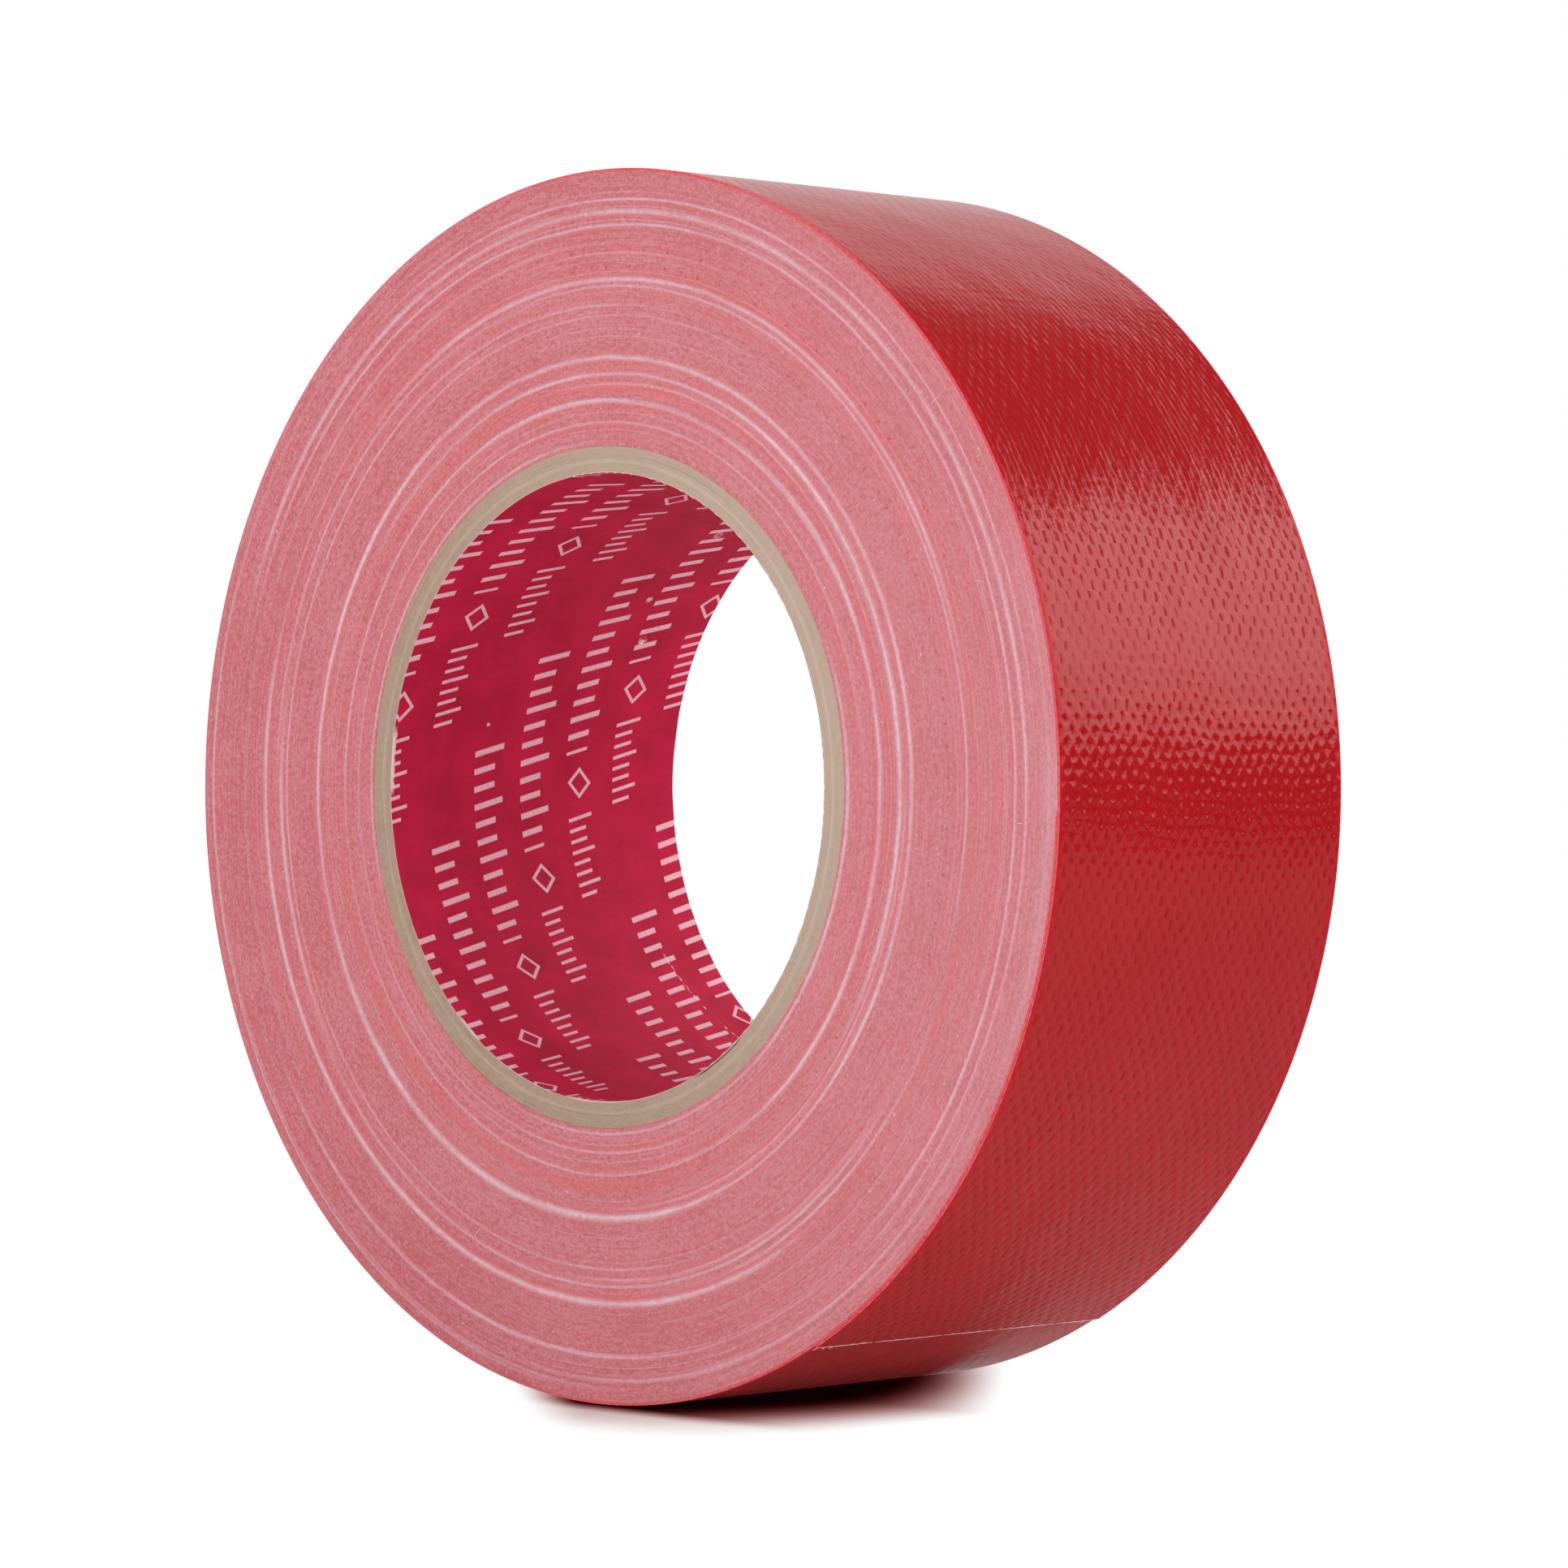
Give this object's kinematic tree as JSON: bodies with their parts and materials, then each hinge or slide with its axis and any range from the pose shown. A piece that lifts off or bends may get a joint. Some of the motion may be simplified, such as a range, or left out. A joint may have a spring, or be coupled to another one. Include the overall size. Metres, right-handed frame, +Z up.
{
  "type": "duct tape roll",
  "caption": "Roll of red cloth-backed duct tape on a paperboard core with a printed lining, with a free tail that peels off the roll.",
  "frame": {"origin": "centre of the core's bore, half way across the tape", "axes": "+Y along the bore, towards the back of the roll; +Z up; the free tail's cut end is on the +X side, below the bore's height, and the roll stands on its tread with its front side towards -Y"},
  "size_m": [0.1508, 0.05, 0.1507],
  "materials": {
    "liner_paper": "satin printed paper",
    "core_board": "matte, fibrous, with the plies' edges showing",
    "wound_edge": "matte, the slit edges of the turns",
    "tape_film": "gloss, with the weave showing through",
    "tape_cloth": "matte woven cotton",
    "tape_adhesive": "satin and tacky"
  },
  "bodies": {
    "root": {"core_liner": "liner_paper", "core_ply_1": "core_board", "core_ply_2": "core_board", "core_ply_3": "core_board", "core_ply_4": "core_board", "core_ply_5": "core_board", "core_ply_6": "core_board", "wound_tape": "wound_edge", "outer_turn_adhesive": "tape_adhesive", "outer_turn_cloth": "tape_cloth", "outer_turn_film": "tape_film"},
    "tail_1": {"tail_1_adhesive": "tape_adhesive", "tail_1_cloth": "tape_cloth", "tail_1_film": "tape_film"},
    "tail_2": {"tail_2_adhesive": "tape_adhesive", "tail_2_cloth": "tape_cloth", "tail_2_film": "tape_film"},
    "tail_3": {"tail_3_adhesive": "tape_adhesive", "tail_3_cloth": "tape_cloth", "tail_3_film": "tape_film"},
    "tail_4": {"tail_4_adhesive": "tape_adhesive", "tail_4_cloth": "tape_cloth", "tail_4_film": "tape_film"},
    "tail_5": {"tail_5_adhesive": "tape_adhesive", "tail_5_cloth": "tape_cloth", "tail_5_film": "tape_film"},
    "tail_6": {"tail_6_adhesive": "tape_adhesive", "tail_6_cloth": "tape_cloth", "tail_6_film": "tape_film"}
  },
  "joints": [
    {"name": "tail_peel", "type": "hinge", "parent": "root", "child": "tail_1", "pos_m": [0.075, 0, -0.00873], "axis": [0, -1, 0], "range_deg": [0, 30]},
    {"name": "tail_bend_2", "type": "hinge", "parent": "tail_1", "child": "tail_2", "pos_m": [0.07272, 0, -0.02035], "axis": [0, -1, 0], "range_deg": [0, 25.5]},
    {"name": "tail_bend_3", "type": "hinge", "parent": "tail_2", "child": "tail_3", "pos_m": [0.06865, 0, -0.03147], "axis": [0, -1, 0], "range_deg": [0, 21]},
    {"name": "tail_bend_4", "type": "hinge", "parent": "tail_3", "child": "tail_4", "pos_m": [0.06289, 0, -0.04182], "axis": [0, -1, 0], "range_deg": [0, 16.5]},
    {"name": "tail_bend_5", "type": "hinge", "parent": "tail_4", "child": "tail_5", "pos_m": [0.05558, 0, -0.05114], "axis": [0, -1, 0], "range_deg": [0, 13.5]},
    {"name": "tail_bend_6", "type": "hinge", "parent": "tail_5", "child": "tail_6", "pos_m": [0.04691, 0, -0.0592], "axis": [0, -1, 0], "range_deg": [0, 12]}
  ],
  "couplings": [
    {"joint": "tail_bend_2", "follows": "tail_peel", "ratio": 0.85},
    {"joint": "tail_bend_3", "follows": "tail_peel", "ratio": 0.7},
    {"joint": "tail_bend_4", "follows": "tail_peel", "ratio": 0.55},
    {"joint": "tail_bend_5", "follows": "tail_peel", "ratio": 0.45},
    {"joint": "tail_bend_6", "follows": "tail_peel", "ratio": 0.4}
  ]
}
